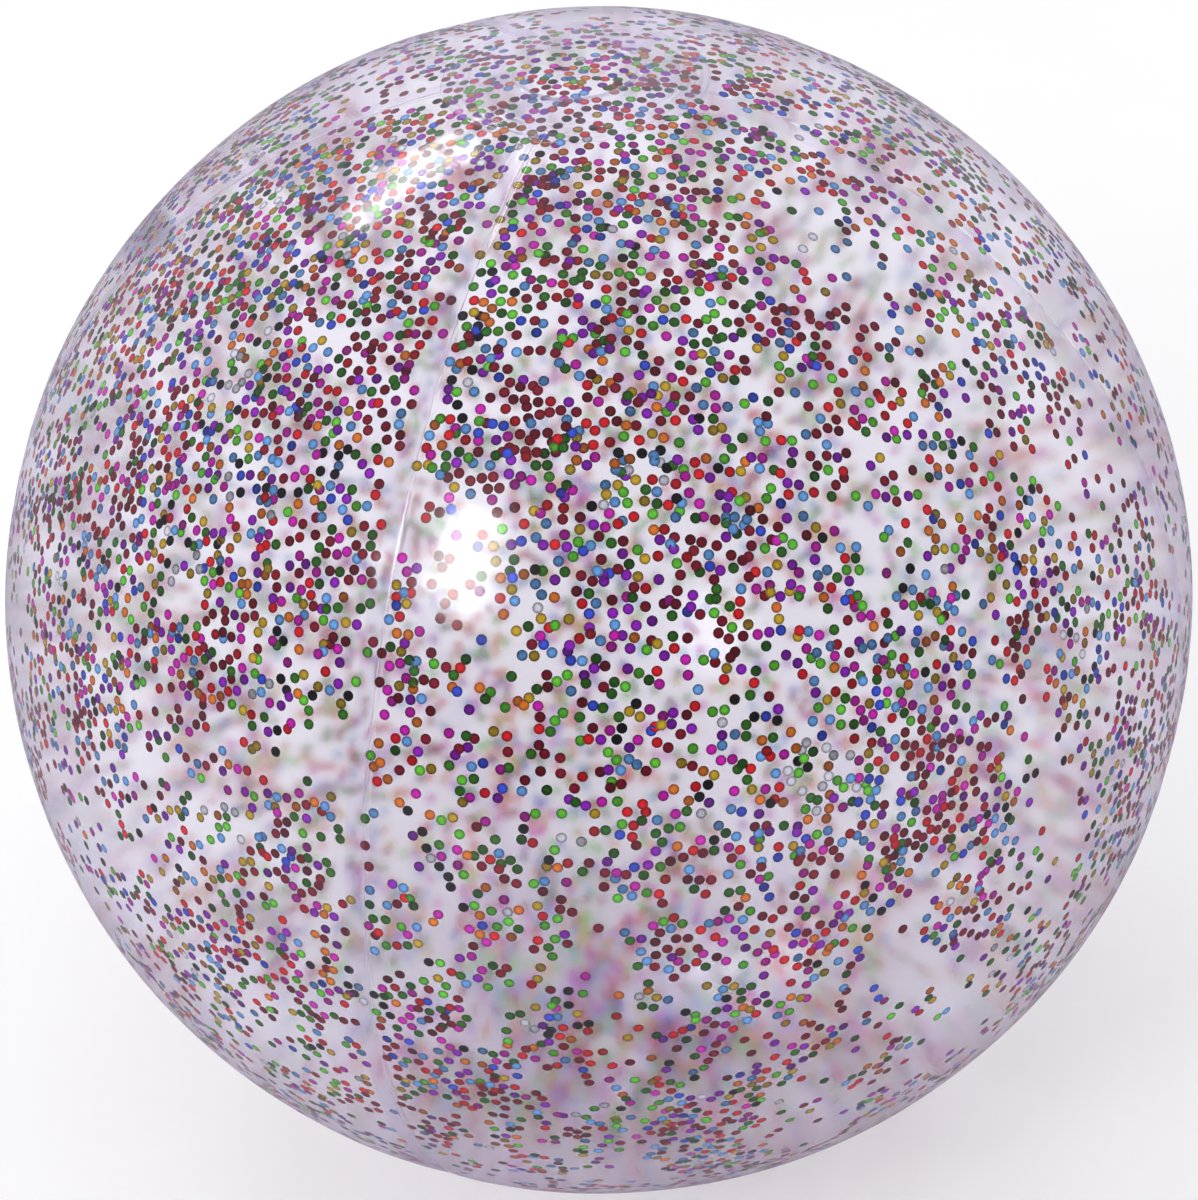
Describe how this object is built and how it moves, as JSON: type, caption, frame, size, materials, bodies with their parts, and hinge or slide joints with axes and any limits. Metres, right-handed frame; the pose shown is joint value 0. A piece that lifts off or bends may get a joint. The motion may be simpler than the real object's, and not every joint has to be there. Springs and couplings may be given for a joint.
{
  "type": "inflatable beach ball",
  "caption": "Clear inflatable beach ball with loose coloured glitter dots inside, welded film panels, round end caps and a push-in valve with a plug.",
  "frame": {"origin": "centre of the inflated ball", "axes": "+Z through the upper cap along the axis that all the seams share, -Y through the wide front panel, +X to the right of it"},
  "size_m": [0.3999, 0.4, 0.4006],
  "materials": {
    "clear_film": "gloss",
    "clear_valve": "gloss",
    "glitter_burgundy": "gloss",
    "glitter_red": "gloss",
    "glitter_magenta": "gloss",
    "glitter_violet": "gloss",
    "glitter_blue": "gloss",
    "glitter_sky": "gloss",
    "glitter_forest": "gloss",
    "glitter_green": "gloss",
    "glitter_gold": "gloss",
    "glitter_orange": "gloss",
    "glitter_black": "gloss",
    "glitter_silver": "gloss"
  },
  "bodies": {
    "ball": {"front_panel": "clear_film", "right_panel": "clear_film", "back_panel": "clear_film", "back_left_panel": "clear_film", "left_panel": "clear_film", "upper_cap": "clear_film", "lower_cap": "clear_film", "valve_flange": "clear_valve", "valve_boot": "clear_valve", "glitter_burgundy": "glitter_burgundy", "glitter_red": "glitter_red", "glitter_magenta": "glitter_magenta", "glitter_violet": "glitter_violet", "glitter_blue": "glitter_blue", "glitter_sky": "glitter_sky", "glitter_forest": "glitter_forest", "glitter_green": "glitter_green", "glitter_gold": "glitter_gold", "glitter_orange": "glitter_orange", "glitter_black": "glitter_black", "glitter_silver": "glitter_silver"},
    "stem": {"valve_stem": "clear_valve", "plug_strap": "clear_valve"},
    "plug": {"valve_plug": "clear_valve"},
    "flap": {"valve_flap": "clear_valve"}
  },
  "joints": [
    {"name": "stem_pull", "type": "slide", "parent": "ball", "child": "stem", "axis": [-0.7447, 0.4744, 0.4695], "range_m": [0, 0.024], "deforming": ["valve_boot"]},
    {"name": "plug_pull", "type": "slide", "parent": "stem", "child": "plug", "axis": [-0.7447, 0.4744, 0.4695], "range_m": [0, 0.009], "deforming": ["plug_strap"]},
    {"name": "flap_open", "type": "hinge", "parent": "stem", "child": "flap", "pos_m": [-0.13547, 0.09211, 0.08706], "axis": [0.3959, -0.2522, 0.8829], "range_deg": [0, 50], "stiffness_Nm_per_rad": 0.00005}
  ]
}
